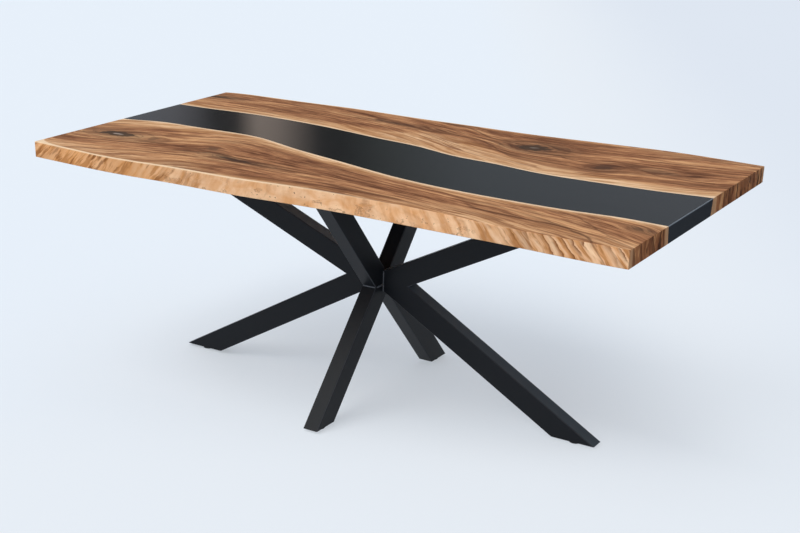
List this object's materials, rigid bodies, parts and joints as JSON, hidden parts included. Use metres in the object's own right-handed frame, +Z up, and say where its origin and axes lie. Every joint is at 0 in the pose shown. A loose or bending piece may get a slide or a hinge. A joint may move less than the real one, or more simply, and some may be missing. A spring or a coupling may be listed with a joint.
{
  "type": "live edge dining table",
  "caption": "Rectangular dining table with live-edge hardwood slabs either side of a black resin river, on a welded spider base of rectangular steel tube with levelling glides.",
  "frame": {"origin": "on the floor, under the middle of the table top's bounding rectangle", "axes": "+X along the length to the right end, +Y across to the rear edge, +Z up"},
  "size_m": [1.98, 1.0727, 0.76],
  "materials": {
    "slab_wood": "satin oil on walnut-like heartwood with pale sapwood",
    "river_resin": "cast black epoxy, sanded to satin",
    "powder_coat": "fine matt black powder coat",
    "zinc_steel": "bright zinc plate",
    "insert_brass": "turned",
    "glide_nylon": "moulded black nylon"
  },
  "bodies": {
    "table": {"channel_inserts": "insert_brass", "channel_left": "powder_coat", "channel_right": "powder_coat", "channel_screws": "zinc_steel", "foot_nut_front": "zinc_steel", "foot_nut_left": "zinc_steel", "foot_nut_rear": "zinc_steel", "foot_nut_right": "zinc_steel", "foot_plate_front": "powder_coat", "foot_plate_left": "powder_coat", "foot_plate_rear": "powder_coat", "foot_plate_right": "powder_coat", "front_slab": "slab_wood", "lower_arm_front": "powder_coat", "lower_arm_left": "powder_coat", "lower_arm_rear": "powder_coat", "lower_arm_right": "powder_coat", "mounting_plate_front": "powder_coat", "mounting_plate_left": "powder_coat", "mounting_plate_rear": "powder_coat", "mounting_plate_right": "powder_coat", "plate_bolts": "zinc_steel", "plate_inserts": "insert_brass", "plate_washers": "zinc_steel", "rear_slab": "slab_wood", "resin_river": "river_resin", "upper_arm_front": "powder_coat", "upper_arm_left": "powder_coat", "upper_arm_rear": "powder_coat", "upper_arm_right": "powder_coat"},
    "glide_left": {"glide_stud_left": "zinc_steel", "glide_pad_left": "glide_nylon"},
    "glide_right": {"glide_stud_right": "zinc_steel", "glide_pad_right": "glide_nylon"},
    "glide_front": {"glide_stud_front": "zinc_steel", "glide_pad_front": "glide_nylon"},
    "glide_rear": {"glide_stud_rear": "zinc_steel", "glide_pad_rear": "glide_nylon"}
  },
  "joints": [
    {"name": "glide_left_screw", "type": "slide", "parent": "table", "child": "glide_left", "axis": [0, 0, -1], "range_m": [0, 0.01]},
    {"name": "glide_right_screw", "type": "slide", "parent": "table", "child": "glide_right", "axis": [0, 0, -1], "range_m": [0, 0.01]},
    {"name": "glide_front_screw", "type": "slide", "parent": "table", "child": "glide_front", "axis": [0, 0, -1], "range_m": [0, 0.01]},
    {"name": "glide_rear_screw", "type": "slide", "parent": "table", "child": "glide_rear", "axis": [0, 0, -1], "range_m": [0, 0.01]}
  ]
}
